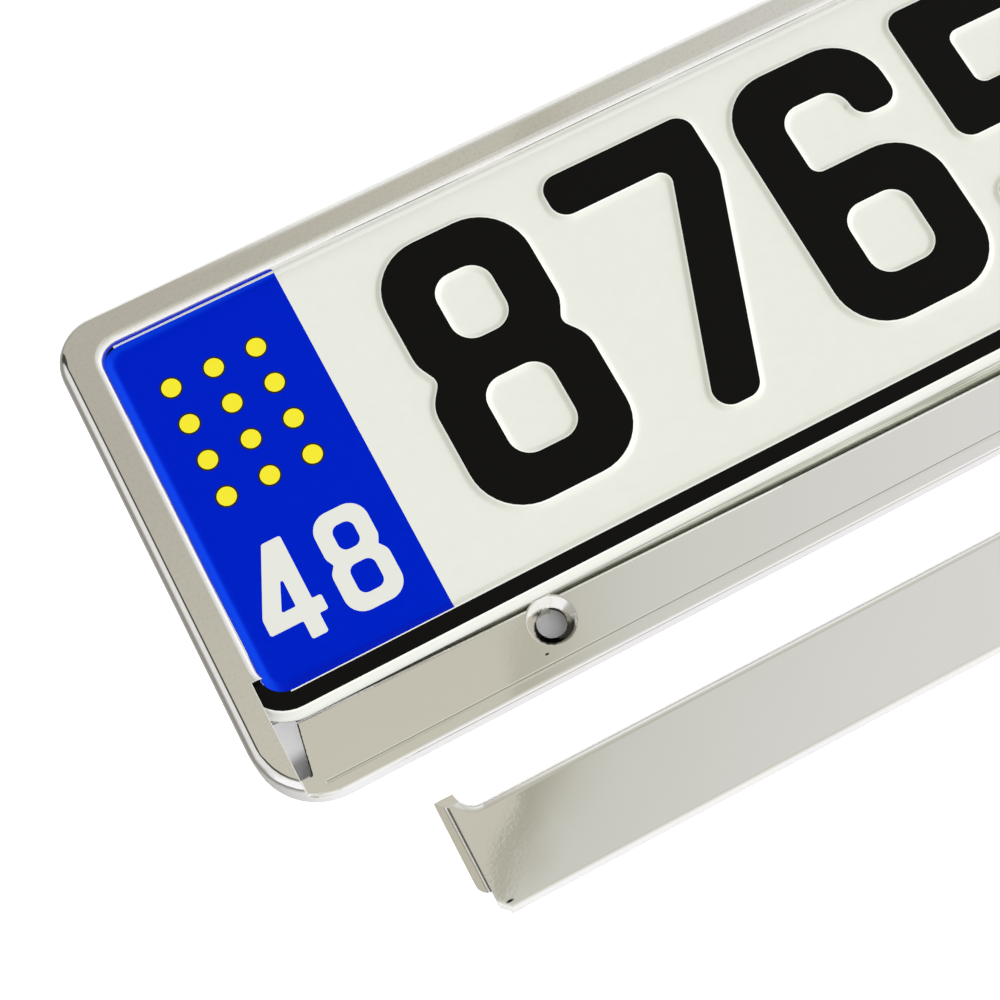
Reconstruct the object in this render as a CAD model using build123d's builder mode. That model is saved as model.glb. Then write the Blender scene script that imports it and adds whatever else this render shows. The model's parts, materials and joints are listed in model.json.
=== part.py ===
from build123d import *
from math import atan2, cos, degrees, floor, radians, sin
import os

# Holder for a long European number plate: a moulded frame, its retaining strip taken off, and the plate.
# The holder lies on its back, in millimetres: +X along the plate, +Y to its top edge, +Z out of its face.
# The origin is the centre of the frame's back face.

# Number plate, pressed from sheet
plate_length = 520.0
plate_height = 112.0
plate_corner_radius = 13.0
plate_sheet = 1.0
border_inset = 2.5
border_width = 4.0
border_slope = 2.0
emboss_height = 1.0

# Shell of the frame
wall = 1.6
side_clearance = 1.7
top_clearance = 0.2
bottom_rail = 19.2
top_corner_radius = 12.5
bottom_corner_radius = 17.0
edge_round = 3.0
panel_thickness = 2.0
support_height = 7.0

# Lips that hold the plate on three sides
side_lip_width = 10.55
top_lip_width = 9.5
lip_thickness = 2.5
lip_round = 2.3
lip_round_limit = 0.92
window_corner_radius = 5.0

# Bed below the plate, where the strip seats
bed_thickness = 2.0
bed_overlap = 0.5
bed_bow = 3.5
bed_end_rear = 13.2
bed_end_front = 9.7
bed_rear_round = 0.6
sill_round = 1.2
groove_width = 0.6
groove_depth = 0.4
foot_depth = 6.8
slot_reach = 4.0
front_rib_gap = 1.0
front_rib_thickness = 2.0

# Screw holes in the bed
hole_spacing = 372.0
hole_rise = 13.1
hole_radius = 3.75
countersink_radius = 6.0
countersink_angle = 90.0
boss_radius = 6.5
boss_length = 4.5

# Back panel: rows of openings, support ribs, screw slots and mould openings below the lips
cell_pitch = 49.0
opening_length = 36.0
opening_height = 34.0
opening_row_pitch = 48.0
opening_corner_radius = 4.0
rib_thickness = 1.6
middle_rib_spacing = 10.4
outer_rib_spacing = 88.0
screw_slot_length = 22.0
screw_slot_width = 6.4
mould_opening_side_length = 28.0

# Retaining strip
strip_width = 25.4
strip_height = 6.5
strip_wall = 1.8
strip_round = 1.5
strip_corner_cut = 2.2
sill = 3.3
notch_rise = 2.4
cut_step = 2.5
fit_clearance = 0.1
slide_clearance = 0.1
tab_reach = 2.5
tab_thickness = 0.8
tab_foot = 6.3
tab_end_radius = 3.0
pad_depth = 4.0
bead_setback = 0.4
bead_width = 0.5
bead_height = 0.3

# Where the strip lies in front of the holder
strip_shift_x = 27.4
strip_shift_y = -46.4
strip_turn = -0.25

# Outline of the frame
outer_length = plate_length + 2 * (side_clearance + wall)
outer_height = plate_height + top_clearance + wall + bottom_rail
half_length = outer_length / 2
half_height = outer_height / 2
plate_y = half_height - wall - top_clearance - plate_height / 2
plate_bottom = plate_y - plate_height / 2

# Levels above the back face
plate_back = panel_thickness + support_height
plate_face = plate_back + plate_sheet
lip_underside = plate_face + emboss_height + tab_thickness + 2 * slide_clearance
depth = lip_underside + lip_thickness
bed_top = depth - strip_height
tab_top = lip_underside - slide_clearance

# Opening for the plate, which the lips and the strip close together
strip_bottom = -half_height + sill
window_bottom = strip_bottom + strip_width
window_top = half_height - top_lip_width
window_length = outer_length - 2 * side_lip_width
cell_count = 2 * floor(window_length / (2 * cell_pitch))
notch_y = window_bottom + notch_rise
cut_x = half_length - side_lip_width + cut_step
strip_end = cut_x - fit_clearance
tab_bottom = strip_bottom + tab_foot
groove_y = strip_bottom + bead_setback
bed_rear = plate_bottom + bed_overlap
foot_y = -half_height + foot_depth

# The strip is drawn where it fits and then lies on the ground in front
strip_direction = (cos(radians(strip_turn)), sin(radians(strip_turn)), 0)
strip_place = (strip_shift_x, strip_shift_y, bead_height - bed_top)
strip_plane = Plane(origin=strip_place, x_dir=strip_direction, z_dir=(0, 0, 1))


def frame_plan(plane, inset=0.0):
    """Outline of the frame, drawn in from its outer face."""
    with BuildSketch(plane) as plan:
        Rectangle(outer_length - 2 * inset, outer_height - 2 * inset)
        fillet(plan.vertices().group_by(Axis.Y)[-1], top_corner_radius - inset)
        fillet(plan.vertices().group_by(Axis.Y)[0], bottom_corner_radius - inset)
    return plan.sketch


def window_plan(plane):
    """Opening through which the plate shows."""
    with BuildSketch(plane) as plan:
        with Locations((0, (window_top + window_bottom) / 2)):
            RectangleRounded(window_length, window_top - window_bottom, window_corner_radius)
    return plan.sketch


def band_plan(plane, half_width, low, high):
    """Rectangle across the middle of the holder, between two heights."""
    with BuildSketch(plane) as plan:
        with Locations((0, (low + high) / 2)):
            Rectangle(2 * half_width, high - low)
    return plan.sketch


def bed_rear_line(shift=0.0):
    """Rear edge of the bed, which bows away from the plate, moved back by a shift."""
    rear_x = half_length - bed_end_rear
    return ThreePointArc(
        (-rear_x, bed_rear + shift), (0, bed_rear + shift - bed_bow), (rear_x, bed_rear + shift)
    )


def bed_plan(plane, inset=0.0):
    """Bed below the plate, with slanting ends."""
    front_x = half_length - bed_end_front
    with BuildSketch(plane) as plan:
        with BuildLine():
            rear = bed_rear_line()
            Polyline(rear @ 1, (front_x, -half_height), (-front_x, -half_height), rear @ 0)
        make_face()
        add(frame_plan(Plane.XY), mode=Mode.INTERSECT)
        if inset:
            offset(amount=-inset, kind=Kind.INTERSECTION, mode=Mode.REPLACE)
    return plan.sketch


def front_rib_plan(plane):
    """Rib behind the bed, along its rear edge, which carries the lower edge of the plate."""
    with BuildSketch(plane) as plan:
        with BuildLine():
            front = bed_rear_line(front_rib_gap)
            back = bed_rear_line(front_rib_gap + front_rib_thickness)
            Line(front @ 0, back @ 0)
            Line(front @ 1, back @ 1)
        make_face()
    return plan.sketch


def pocket_plan(plane):
    """Space inside the frame's walls, without the bed and the feet at its ends."""
    with BuildSketch(plane) as plan:
        add(frame_plan(Plane.XY, wall))
        add(bed_plan(Plane.XY), mode=Mode.SUBTRACT)
        add(band_plan(Plane.XY, half_length, -half_height, foot_y), mode=Mode.SUBTRACT)
    return plan.sketch


def plate_plan(plane, inset=0.0):
    """Outline of the plate, drawn in from its edge."""
    with BuildSketch(plane) as plan:
        with Locations((0, plate_y)):
            RectangleRounded(
                plate_length - 2 * inset, plate_height - 2 * inset, plate_corner_radius - inset
            )
    return plan.sketch


def open_window(part, plane, height):
    """Cut the plate's opening through the lips of a part, and round their inner edge."""
    extrude(window_plan(plane), amount=height, mode=Mode.SUBTRACT)
    rim = part.faces().sort_by(Axis.Z)[-1].inner_wires()[0].edges()
    fillet(rim, min(lip_round, lip_round_limit * lip_thickness))


# Raised border of the plate, with sloping sides
border_angle = degrees(atan2(border_slope, emboss_height))
with BuildPart() as border:
    extrude(
        plate_plan(Plane.XY, border_inset - border_slope), amount=emboss_height, taper=border_angle
    )
    extrude(
        plate_plan(Plane.XY, border_inset + border_width + border_slope),
        amount=emboss_height,
        taper=-border_angle,
        mode=Mode.SUBTRACT,
    )

with BuildPart() as number_plate:
    extrude(plate_plan(Plane.XY.offset(plate_back)), amount=plate_sheet)
    with Locations((0, 0, plate_back)):
        add(border.part, mode=Mode.SUBTRACT)
    with Locations((0, 0, plate_face)):
        add(border.part)

# Lips: a ring as deep as the frame, cut away where the strip fits
with BuildPart() as lip_ring:
    extrude(frame_plan(Plane.XY), amount=depth)
    fillet(lip_ring.faces().sort_by(Axis.Z)[-1].edges(), edge_round)
    open_window(lip_ring, Plane.XY, depth)
    extrude(band_plan(Plane.XY, cut_x, -half_height, notch_y), amount=depth, mode=Mode.SUBTRACT)

# Moulded frame
hole_places = [(-hole_spacing / 2, hole_rise - half_height), (hole_spacing / 2, hole_rise - half_height)]
mould_x = half_length - (wall + side_lip_width) / 2
mould_y = half_height - (wall + top_lip_width) / 2

with BuildPart() as holder_frame:
    # Shell: base, lips and the pocket for the plate
    extrude(frame_plan(Plane.XY), amount=bed_top)
    fillet(holder_frame.faces().sort_by(Axis.Z)[-1].edges(), sill_round)
    add(lip_ring.part)
    extrude(
        pocket_plan(Plane.XY.offset(panel_thickness)),
        amount=lip_underside - panel_thickness,
        mode=Mode.SUBTRACT,
    )
    arcs = holder_frame.edges().filter_by(GeomType.CIRCLE)
    bed_rear_edge = arcs.filter_by(lambda arc: arc.radius > outer_length).sort_by(Axis.Z)[-1]
    fillet(bed_rear_edge, bed_rear_round)

    # Bed: hollow from behind between its ribs, with screw bosses and a groove for the strip's bead
    with BuildSketch() as channel:
        add(bed_plan(Plane.XY, wall))
        with GridLocations(cell_pitch, 0, cell_count, 1):
            Rectangle(rib_thickness, outer_height, mode=Mode.SUBTRACT)
    extrude(amount=bed_top - bed_thickness, mode=Mode.SUBTRACT)
    with BuildSketch(Plane.XY.offset(bed_top - boss_length)):
        with Locations(hole_places):
            Circle(boss_radius)
    extrude(amount=boss_length)
    with BuildSketch(Plane.XY.offset(bed_top)):
        with Locations((0, groove_y)):
            Rectangle(outer_length - 2 * bed_end_rear, groove_width)
    extrude(amount=-groove_depth, mode=Mode.SUBTRACT)
    with Locations([(x, y, bed_top) for x, y in hole_places]):
        CounterSinkHole(hole_radius, countersink_radius, bed_top, countersink_angle)

    # Slots beside the bed, under the ends of the side lips
    with BuildSketch() as end_slots:
        slot_length = plate_bottom + slot_reach + half_height
        with Locations((0, slot_length / 2 - half_height)):
            with GridLocations(outer_length - bed_end_rear, 0, 2, 1):
                Rectangle(bed_end_rear, slot_length)
        add(pocket_plan(Plane.XY), mode=Mode.INTERSECT)
    extrude(amount=panel_thickness, mode=Mode.SUBTRACT)

    # Openings of the back panel, screw slots and mould openings below the lips
    with BuildSketch() as openings:
        with Locations((0, plate_y)):
            with GridLocations(cell_pitch, opening_row_pitch, cell_count, 2):
                RectangleRounded(opening_length, opening_height, opening_corner_radius)
            with GridLocations(cell_pitch, 0, cell_count, 1):
                SlotOverall(screw_slot_length, screw_slot_width)
            with GridLocations(2 * mould_x, opening_row_pitch, 2, 2):
                Rectangle(side_lip_width - wall, mould_opening_side_length)
        with Locations((0, mould_y)):
            with GridLocations(cell_pitch, 0, cell_count, 1):
                Rectangle(opening_length, top_lip_width - wall)
    extrude(amount=panel_thickness, mode=Mode.SUBTRACT)

    # Ribs that carry the plate
    with BuildSketch(Plane.XY.offset(panel_thickness)) as ribs:
        with Locations((0, plate_y)):
            with GridLocations(0, outer_rib_spacing, 1, 2):
                Rectangle(window_length, rib_thickness)
            with GridLocations(0, middle_rib_spacing, 1, 2):
                Rectangle(window_length, rib_thickness)
            with GridLocations(cell_pitch, 0, cell_count + 1, 1):
                Rectangle(rib_thickness, outer_rib_spacing)
        add(front_rib_plan(Plane.XY))
    extrude(amount=support_height)

# Retaining strip
with BuildPart() as retaining_strip:
    # Face and lower wall, from a blank that holds the whole opening
    with BuildSketch(strip_plane.offset(lip_underside)) as blank:
        with Locations((0, (strip_bottom + half_height) / 2)):
            Rectangle(2 * strip_end, half_height - strip_bottom)
        chamfer(blank.vertices().group_by(Axis.Y)[0], strip_corner_cut)
    extrude(amount=lip_thickness)
    foot_half = strip_end - strip_corner_cut
    extrude(
        band_plan(strip_plane.offset(bed_top), foot_half, strip_bottom, strip_bottom + strip_wall),
        amount=strip_height,
    )
    low_edges = retaining_strip.faces().sort_by(Axis.Z)[-1].edges().filter_by(
        lambda edge: strip_plane.to_local_coords(edge.center()).Y < strip_bottom + strip_corner_cut
    )
    fillet(low_edges, strip_round)
    open_window(retaining_strip, strip_plane.offset(lip_underside), lip_thickness)
    extrude(
        band_plan(strip_plane.offset(lip_underside), half_length, notch_y - fit_clearance, outer_height),
        amount=lip_thickness,
        mode=Mode.SUBTRACT,
    )

    # Tabs that slide under the lips, and the pads that carry them
    tab_centre = cut_x + (tab_reach - fit_clearance - pad_depth) / 2
    tab_width = tab_reach + fit_clearance + pad_depth
    tab_height = notch_y + tab_reach - tab_bottom
    with BuildSketch(strip_plane.offset(tab_top)) as tabs:
        with Locations((0, tab_bottom + tab_height / 2)):
            with GridLocations(2 * tab_centre, 0, 2, 1):
                Rectangle(tab_width, tab_height)
        low_corners = tabs.vertices().group_by(Axis.Y)[0].sort_by(Axis.X)
        fillet([low_corners[0], low_corners[-1]], tab_end_radius)
        add(window_plan(Plane.XY), mode=Mode.SUBTRACT)
    extrude(amount=-tab_thickness)
    with BuildSketch(strip_plane.offset(tab_top)) as pads:
        with Locations((0, (tab_bottom + notch_y - fit_clearance) / 2)):
            with GridLocations(2 * strip_end - pad_depth, 0, 2, 1):
                Rectangle(pad_depth, notch_y - fit_clearance - tab_bottom)
        add(window_plan(Plane.XY), mode=Mode.SUBTRACT)
    extrude(amount=slide_clearance)

    # Cross ribs that stand on the bed, and the bead that seats in its groove
    rib_low = strip_bottom + strip_wall
    rib_high = bed_rear - bed_bow
    with BuildSketch(strip_plane.offset(bed_top)) as strip_ribs:
        with Locations((0, (rib_low + rib_high) / 2)):
            with GridLocations(cell_pitch, 0, cell_count, 1):
                Rectangle(rib_thickness, rib_high - rib_low)
    extrude(amount=lip_underside - bed_top)
    with BuildSketch(strip_plane.offset(bed_top - bead_height)) as bead:
        with Locations((0, groove_y)):
            Rectangle(outer_length - 2 * (bed_end_rear + fit_clearance), bead_width)
    extrude(amount=bead_height)

holder_frame.part.label = "holder_frame"
retaining_strip.part.label = "retaining_strip"
number_plate.part.label = "number_plate"

os.makedirs("parts", exist_ok=True)
export_step(holder_frame.part, "parts/holder_frame.step")
export_step(retaining_strip.part, "parts/retaining_strip.step")
export_step(number_plate.part, "parts/number_plate.step")
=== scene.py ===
import bmesh
import bpy
import json
from math import atan2, ceil, cos, hypot, pi, radians, sin, tan
from mathutils import Matrix, Vector
from mathutils.geometry import tessellate_polygon


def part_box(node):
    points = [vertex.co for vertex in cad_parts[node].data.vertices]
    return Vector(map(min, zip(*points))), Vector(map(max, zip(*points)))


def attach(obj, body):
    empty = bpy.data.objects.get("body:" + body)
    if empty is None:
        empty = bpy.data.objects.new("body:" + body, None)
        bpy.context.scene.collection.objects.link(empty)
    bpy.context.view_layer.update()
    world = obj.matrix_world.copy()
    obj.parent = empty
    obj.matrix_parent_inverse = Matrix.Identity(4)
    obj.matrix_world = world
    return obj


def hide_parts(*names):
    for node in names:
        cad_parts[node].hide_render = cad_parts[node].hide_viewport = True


# Number plate holder: the chrome-plated frame and strip, and the pressed plate with plain numbers on it.
# Sizes of the holder are in millimetres, times MM where metres are needed. The stage is in metres.

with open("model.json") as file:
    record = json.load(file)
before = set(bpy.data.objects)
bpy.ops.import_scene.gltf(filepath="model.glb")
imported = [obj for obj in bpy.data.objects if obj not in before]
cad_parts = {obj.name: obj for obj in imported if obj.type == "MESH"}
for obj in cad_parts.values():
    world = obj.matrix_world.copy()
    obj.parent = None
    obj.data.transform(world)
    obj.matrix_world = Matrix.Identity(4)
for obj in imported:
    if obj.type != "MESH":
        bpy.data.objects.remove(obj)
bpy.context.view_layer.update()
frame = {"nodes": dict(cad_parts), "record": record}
MM = 0.001

# Pressed sheet of the plate
plate_low, plate_high = (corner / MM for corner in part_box("number_plate"))
sheet_thickness = 1.0
emboss_top = plate_high.z
film_level = plate_low.z + sheet_thickness
plate_corner_radius = 13.0
rim_width = 2.5
border_width = 4.0
outer_slope = 2.0
emboss_slope = 1.8
border_slope = 2.2
band_slope = 3.4
black_overlap = 0.15
flat_margin = 0.5
film_start = 0.14
arc_step = radians(9)
slope_steps = 8
same_place = 1e-3

# Blue band at the left end
band_right = -205.1
band_gap_left, band_gap_top, band_gap_low = 0.15, 1.15, 0.45
least_band_gap = black_overlap + 0.05
band_corner_share = 0.2
band_number_height = 26.5
band_number_left = -246.5
band_number_low = -31.5
band_number_pitch = 19.2
band_number = "48"
band_softness = 0.4

# Numbers pressed into the plate
digit_width = 42.7
digit_height = 75.0
digit_stem = 12.0
digit_bar = 11.5
digit_pitch = 51.1
first_digit_left = -186.6
digit_low = -27.1
group_gap = 20.0
first_group = "8765"
second_group = "4321"
outer_round = 14.0
end_round = 4.5
inner_round = 6.0
tight_round = 3.2

# Yellow dots on the blue band
dot_radius = 2.9
dot_outline = 0.45
dot_print = 0.03
dot_pitch_x = 11.5
dot_pitch_y = 10.5
dot_columns = 3
dot_rows = 4
dots_centre = (-229.2, 25.5)

# Frame: levels and places of its pocket, its bed and its screw holes
panel_level = 2.0
rib_level = 9.0
bed_level = 8.0
lip_level = 12.0
pocket_front = -51.0
slot_front = -65.0
bed_end_inner, bed_end_outer = 249.0, 254.5
groove_line, groove_half = -62.8, 0.5
groove_shade_start, groove_shade_full = 0.05, 0.15
screws = next(mount for mount in frame["record"]["mounts"] if mount["name"] == "screw_holes")
hole_x = screws["dims"]["spacing_x_mm"] / 2
hole_y = screws["pos_m"][1] / MM
hole_radius = screws["dims"]["hole_r_mm"]
countersink_radius = 6.0
bed_rear_line = -46.8
bed_end_rear_x = 250.1
bed_end_lean = 3.5 / 19.7
bed_edge_round = 0.6

# Limits by which faces are sorted and joined
steep, nearly_flat = 0.3, 0.95
hair, slack = 0.01, 0.1
flat_angle, crisp_angle = radians(0.3), radians(32)
weld_distance, least_edge = 2e-6, 1e-6

# Strip
strip_low, strip_high = (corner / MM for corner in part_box("retaining_strip"))
strip_middle = (strip_low.x + strip_high.x) / 2
tab_reach = 2.5
strip_end = (strip_high.x - strip_low.x) / 2 - tab_reach

# Faults of the plating (a nick in the bed, a crease in the strip) and painted light and shade: a shade line
# along the bed's slanting ends, a shadow line and highlight at the tabs, shade on one side of the
# countersinks
nick_x, nick_y = -190.9, -60.0
nick_radius, nick_squeeze = 0.38, 0.55
crease_x, crease_y = -225.4, -106.2
crease_radius, crease_squeeze = 0.42, 0.32
mark_core = 0.4
# Painted shade: a dark, ragged line along the slanting ends of the bed
end_shade_front, end_shade_rear = -60.3, -47.2
end_shade_fade = 0.4
end_shade_size, end_shade_depth, end_shade_blur = 0.6, 0.5, 0.1
# Painted highlight and painted shadow line beside the strip's ends, on the tabs
tab_highlight_start, tab_highlight_end, tab_highlight_blur = 0.17, 0.65, 0.06
tab_shadow_end, tab_shadow_blur = 0.85, 0.2
# Painted shade on the side of each countersink below its hole
sink_shade_start, sink_shade_full = 0.2, -1.4
sink_shade_reach, sink_shade_reach_blur = 5.6, 0.4
sink_shade_raggedness = 2.0

# Unevenness of the plating: soft edges, long waves and a fine grain beyond a slanting line
soft_edge_radius = 0.4
wave_size, wave_height = 16.0, 0.06
grain_size, grain_height = 0.9, 0.0028
grain_lean = 0.66
grain_start, grain_full = 148.0, 157.0
bed_side, strip_side = -75.0, -85.0
bed_grain = 0.35


# Node helpers

def new_material(name):
    """A material with its principled shader and its node tree."""
    material = bpy.data.materials.new(name)
    material.use_nodes = True
    tree = material.node_tree
    return material, tree, tree.nodes["Principled BSDF"]


def math_node(tree, operation, first, second=None, clamp=False):
    """The result of an operation on one or two numbers or sockets."""
    node = tree.nodes.new("ShaderNodeMath")
    node.operation = operation
    node.use_clamp = clamp
    for place, value in enumerate((first, second)):
        if value is None:
            continue
        if isinstance(value, (int, float)):
            node.inputs[place].default_value = value
        else:
            tree.links.new(value, node.inputs[place])
    return node.outputs[0]


def step_node(tree, value, start, end, low=0.0, high=1.0):
    """A smooth step of a value from low at start to high at end."""
    node = tree.nodes.new("ShaderNodeMapRange")
    node.interpolation_type = "SMOOTHSTEP"
    node.inputs["From Min"].default_value = start
    node.inputs["From Max"].default_value = end
    node.inputs["To Min"].default_value = low
    node.inputs["To Max"].default_value = high
    tree.links.new(value, node.inputs["Value"])
    return node.outputs["Result"]


def mix_colour(tree, share, first, second, blend="MIX"):
    """Two colours mixed by a share."""
    node = tree.nodes.new("ShaderNodeMix")
    node.data_type = "RGBA"
    node.blend_type = blend
    if isinstance(share, (int, float)):
        node.inputs[0].default_value = share
    else:
        tree.links.new(share, node.inputs[0])
    for place, value in ((6, first), (7, second)):
        if isinstance(value, tuple):
            node.inputs[place].default_value = (*value, 1.0)
        else:
            tree.links.new(value, node.inputs[place])
    return node.outputs[2]


def object_place(tree, axis):
    """Place on the piece along an axis, in metres."""
    place = tree.nodes.new("ShaderNodeTexCoord")
    parts = tree.nodes.new("ShaderNodeSeparateXYZ")
    tree.links.new(place.outputs["Object"], parts.inputs[0])
    return parts.outputs[axis]


def surface_noise(tree, size, detail=2.0, stretch=(1.0, 1.0, 1.0)):
    """Noise fixed to the piece, with features of about a size in millimetres."""
    place = tree.nodes.new("ShaderNodeTexCoord")
    mapping = tree.nodes.new("ShaderNodeMapping")
    mapping.inputs["Scale"].default_value = [1.0 / (size * MM * along) for along in stretch]
    noise = tree.nodes.new("ShaderNodeTexNoise")
    noise.inputs["Scale"].default_value = 1.0
    noise.inputs["Detail"].default_value = detail
    tree.links.new(place.outputs["Object"], mapping.inputs["Vector"])
    tree.links.new(mapping.outputs["Vector"], noise.inputs["Vector"])
    return noise.outputs["Fac"]


def bump(tree, height, distance, below=None):
    """A bump of a height signal, in metres, over an earlier bump."""
    node = tree.nodes.new("ShaderNodeBump")
    node.inputs["Strength"].default_value = 1.0
    node.inputs["Distance"].default_value = distance
    tree.links.new(height, node.inputs["Height"])
    if below is not None:
        tree.links.new(below, node.inputs["Normal"])
    return node.outputs["Normal"]


def reach_node(tree, across, along):
    """Distance of a place from a point, by its offsets across and along."""
    squares = (math_node(tree, "MULTIPLY", offset, offset) for offset in (across, along))
    return math_node(tree, "SQRT", math_node(tree, "ADD", *squares))


# Finishes

def dark_mark(tree, x, y, radius, squeeze):
    """Share of a small dark mark in the plating, squeezed so that it is longer along the holder."""
    across = math_node(tree, "SUBTRACT", object_place(tree, "X"), x * MM)
    along = math_node(tree, "SUBTRACT", object_place(tree, "Y"), y * MM)
    across = math_node(tree, "MULTIPLY", across, squeeze)
    return step_node(tree, reach_node(tree, across, along), radius * MM, mark_core * radius * MM)


def bed_end_shade(tree):
    """Share of the painted shade: a dark, ragged line along the slanting ends of the bed."""
    along = object_place(tree, "Y")
    behind = math_node(tree, "SUBTRACT", along, bed_rear_line * MM)
    lean = math_node(tree, "MULTIPLY", behind, bed_end_lean)
    from_middle = math_node(tree, "ABSOLUTE", object_place(tree, "X"))
    slanting = math_node(tree, "ADD", from_middle, lean)
    past_end = math_node(tree, "SUBTRACT", slanting, bed_end_rear_x * MM)
    shift = math_node(tree, "MULTIPLY", surface_noise(tree, end_shade_size, 2.0), end_shade_depth * MM)
    end_shade = step_node(tree, math_node(tree, "ADD", past_end, shift), -end_shade_blur * MM, 0.0)
    on_bed = math_node(tree, "LESS_THAN", past_end, end_shade_depth * MM)
    front = step_node(tree, along, end_shade_front * MM, (end_shade_front + end_shade_fade) * MM)
    rear = step_node(tree, along, end_shade_rear * MM, (end_shade_rear - end_shade_fade) * MM)
    stretch = math_node(tree, "MULTIPLY", front, rear)
    return math_node(tree, "MULTIPLY", math_node(tree, "MULTIPLY", end_shade, on_bed), stretch)


def chrome_plating():
    """Bright plating on moulded plastic: a mirror with soft edges, faint grain, clouded lips, faults and a
    painted shade line.
    """
    material, tree, shader = new_material("Chrome plating")
    on_lip = step_node(tree, object_place(tree, "Z"), lip_level * MM, (lip_level + 1.0) * MM)
    specks = step_node(tree, surface_noise(tree, 0.9, 3.0), 0.45, 0.7)
    clouded = math_node(tree, "MULTIPLY", on_lip, specks)
    colour = mix_colour(tree, clouded, (0.94, 0.935, 0.92), (0.895, 0.885, 0.865))
    nick = dark_mark(tree, nick_x, nick_y, nick_radius, nick_squeeze)
    crease = dark_mark(tree, crease_x, crease_y, crease_radius, crease_squeeze)
    # The nick and the crease are marks in the plating; the line along the bed's ends is painted shade
    for fault_and_shade in (nick, crease, bed_end_shade(tree)):
        colour = mix_colour(tree, fault_and_shade, colour, (0.03, 0.028, 0.025))
    tree.links.new(colour, shader.inputs["Base Color"])
    shader.inputs["Metallic"].default_value = 1.0
    shader.inputs["Roughness"].default_value = 0.045
    soft_edge = tree.nodes.new("ShaderNodeBevel")
    soft_edge.samples = 8
    soft_edge.inputs["Radius"].default_value = soft_edge_radius * MM
    long_waves = surface_noise(tree, wave_size, 0.0)
    waves = bump(tree, long_waves, wave_height * MM, soft_edge.outputs["Normal"])
    from_middle = math_node(tree, "ABSOLUTE", object_place(tree, "X"))
    along = object_place(tree, "Y")
    slanting = math_node(tree, "ADD", from_middle, math_node(tree, "MULTIPLY", along, grain_lean))
    grainy = step_node(tree, slanting, grain_start * MM, grain_full * MM)
    on_strip = step_node(tree, along, bed_side * MM, strip_side * MM, bed_grain, 1.0)
    grainy = math_node(tree, "MULTIPLY", grainy, on_strip)
    grain = math_node(tree, "MULTIPLY", surface_noise(tree, grain_size, 1.0), grainy)
    uneven = bump(tree, grain, grain_height * MM, waves)
    tree.links.new(uneven, shader.inputs["Normal"])
    return material


def thin_plating_and_shade():
    """Thin plating in the pocket and the slots: dull, olive grey and streaked along the holder, and darkened
    as painted shade.
    """
    material, tree, shader = new_material("Thin plating and painted shade")
    streaks = step_node(tree, surface_noise(tree, 0.5, 2.0, (60.0, 1.0, 1.0)), 0.35, 0.65)
    colour = mix_colour(tree, streaks, (0.46, 0.475, 0.385), (0.84, 0.85, 0.76))
    tree.links.new(colour, shader.inputs["Base Color"])
    shader.inputs["Metallic"].default_value = 0.3
    shader.inputs["Roughness"].default_value = 0.4
    return material


def hole_wall_shade():
    """Wall of the screw holes, painted dark as shade and clouded in two tones."""
    material, tree, shader = new_material("Hole wall shade")
    colour = mix_colour(tree, surface_noise(tree, 1.5, 3.0), (0.03, 0.03, 0.028), (0.06, 0.058, 0.055))
    tree.links.new(colour, shader.inputs["Base Color"])
    shader.inputs["Metallic"].default_value = 1.0
    shader.inputs["Roughness"].default_value = 0.5
    return material


def groove_plating():
    """Plating of the groove in the bed, as bright as the bed but for a line of painted shade along its rear.
    """
    material, tree, shader = new_material("Groove plating")
    shade_start, shade_full = groove_line + groove_shade_start, groove_line + groove_shade_full
    at_rear = step_node(tree, object_place(tree, "Y"), shade_start * MM, shade_full * MM)
    colour = mix_colour(tree, at_rear, (0.91, 0.905, 0.88), (0.56, 0.57, 0.49))
    tree.links.new(colour, shader.inputs["Base Color"])
    shader.inputs["Metallic"].default_value = 1.0
    shader.inputs["Roughness"].default_value = 0.08
    return material


def tab_plating():
    """Duller plating of the strip's tabs, with a painted highlight in a painted shadow line beside the
    strip's end.
    """
    material, tree, shader = new_material("Tab plating")
    colour = mix_colour(tree, surface_noise(tree, 1.5, 3.0), (0.80, 0.785, 0.745), (0.90, 0.885, 0.845))
    from_middle = math_node(tree, "SUBTRACT", object_place(tree, "X"), strip_middle * MM)
    past_end = math_node(tree, "SUBTRACT", math_node(tree, "ABSOLUTE", from_middle), strip_end * MM)
    # Painted shadow line and, within it, a painted highlight beside the strip's end
    shade = step_node(tree, past_end, tab_shadow_end * MM, (tab_shadow_end - tab_shadow_blur) * MM)
    colour = mix_colour(tree, shade, colour, (0.22, 0.205, 0.18))
    near_side = step_node(tree, past_end, tab_highlight_start * MM, (tab_highlight_start + tab_highlight_blur) * MM)
    far_side = step_node(tree, past_end, tab_highlight_end * MM, (tab_highlight_end - tab_highlight_blur) * MM)
    highlight = math_node(tree, "MULTIPLY", near_side, far_side)
    colour = mix_colour(tree, highlight, colour, (0.97, 0.97, 0.95))
    tree.links.new(colour, shader.inputs["Base Color"])
    tree.links.new(math_node(tree, "SUBTRACT", 1.0, highlight), shader.inputs["Metallic"])
    shader.inputs["Roughness"].default_value = 0.06
    return material


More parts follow.
